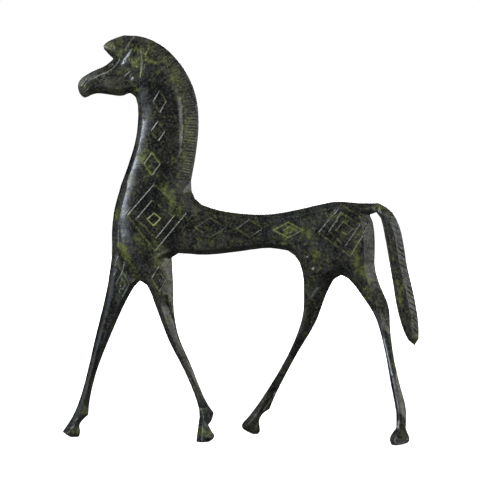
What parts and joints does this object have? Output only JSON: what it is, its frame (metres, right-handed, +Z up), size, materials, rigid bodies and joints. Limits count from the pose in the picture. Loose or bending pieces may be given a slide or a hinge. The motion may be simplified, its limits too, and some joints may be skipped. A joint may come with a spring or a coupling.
{
  "type": "horse figurine",
  "caption": "Slim standing horse cast as a thick bevelled plate, with long splayed legs, arched neck and hanging tail, its flat sides cut with diamonds and hatching.",
  "frame": {"origin": "on the ground, under the middle of the horse's bounding box", "axes": "+Z up, -X the way the horse faces, -Y its left side, which is the side seen in the picture"},
  "size_m": [0.1807, 0.0498, 0.204],
  "materials": {
    "bronze": "dark brown-green patina, semi-gloss"
  },
  "bodies": {
    "root": {"horse": "bronze"}
  },
  "joints": []
}
